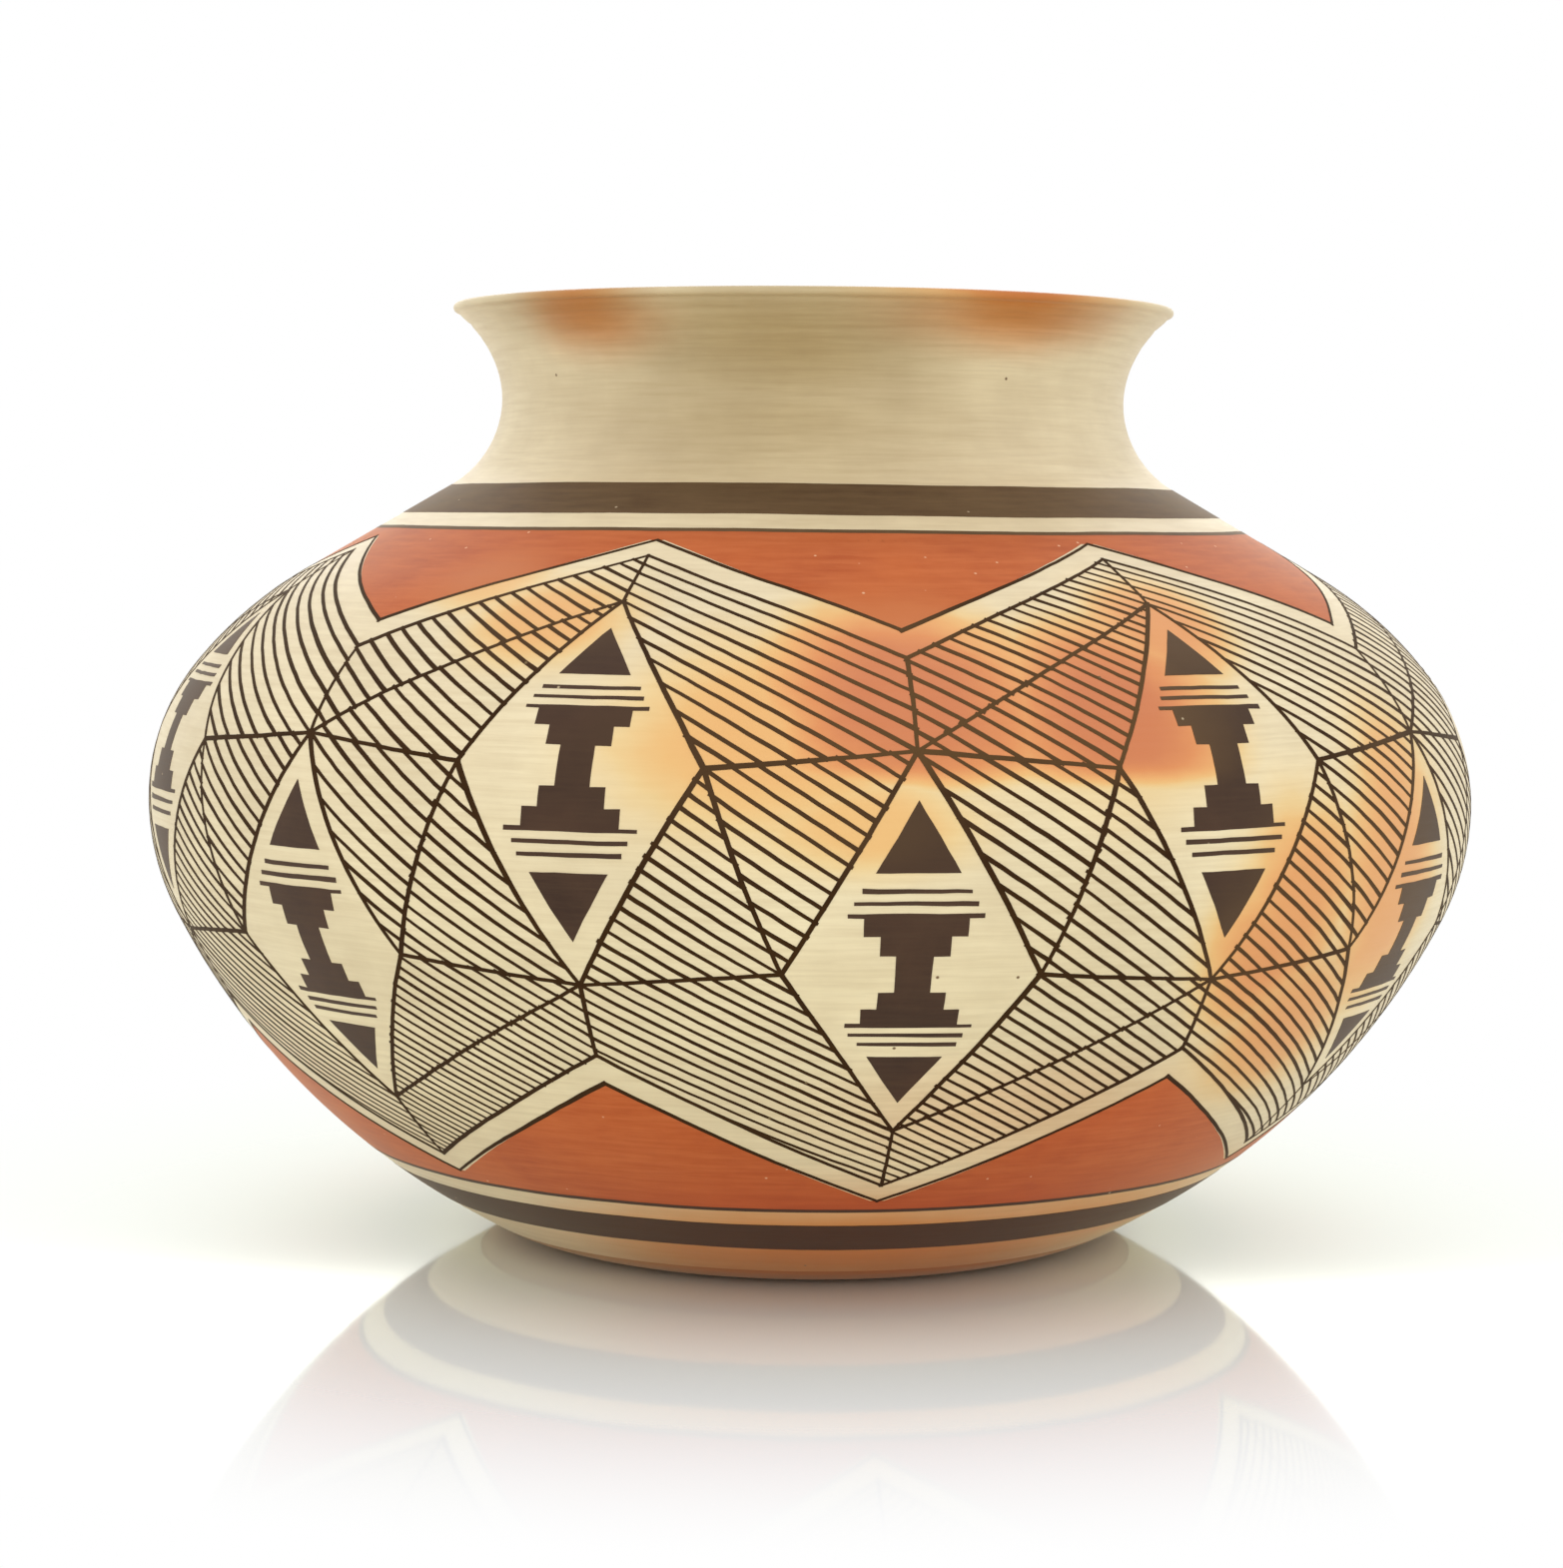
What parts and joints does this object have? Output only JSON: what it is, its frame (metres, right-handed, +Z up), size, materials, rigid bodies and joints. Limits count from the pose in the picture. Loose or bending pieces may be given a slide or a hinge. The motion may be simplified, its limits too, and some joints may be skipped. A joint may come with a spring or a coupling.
{
  "type": "pottery water jar",
  "caption": "Wide-bellied hand-built pottery jar with a flat base, sloping shoulder, short concave neck and flared lip, with plain painted bands.",
  "frame": {"origin": "centre of the flat base, on the floor", "axes": "+Z up along the jar's axis; X and Y lie along any two crossed diameters"},
  "size_m": [0.3, 0.3, 0.2116],
  "materials": {
    "fired_clay": "bare low-fired earthenware, scraped and wiped smooth",
    "cream_slip": "cream slip, polished with a stone to a soft sheen",
    "black_paint": "matt brown-black mineral and plant paint, fired on",
    "red_slip": "matt brick-red clay slip, brushed on"
  },
  "bodies": {
    "root": {"base_slab": "fired_clay", "lower_wall_coil_1": "fired_clay", "lower_wall_coil_2": "fired_clay", "lower_wall_coil_3": "fired_clay", "belly_coil_lower": "fired_clay", "belly_coil_upper": "fired_clay", "shoulder_coil_1": "fired_clay", "shoulder_coil_2": "fired_clay", "shoulder_coil_3": "fired_clay", "neck_coil": "fired_clay", "rim_coil": "fired_clay", "cream_slip": "cream_slip", "shoulder_band": "black_paint", "shoulder_line": "black_paint", "foot_band": "black_paint", "foot_line": "black_paint", "shoulder_red_band": "red_slip", "foot_red_band": "red_slip"}
  },
  "joints": []
}
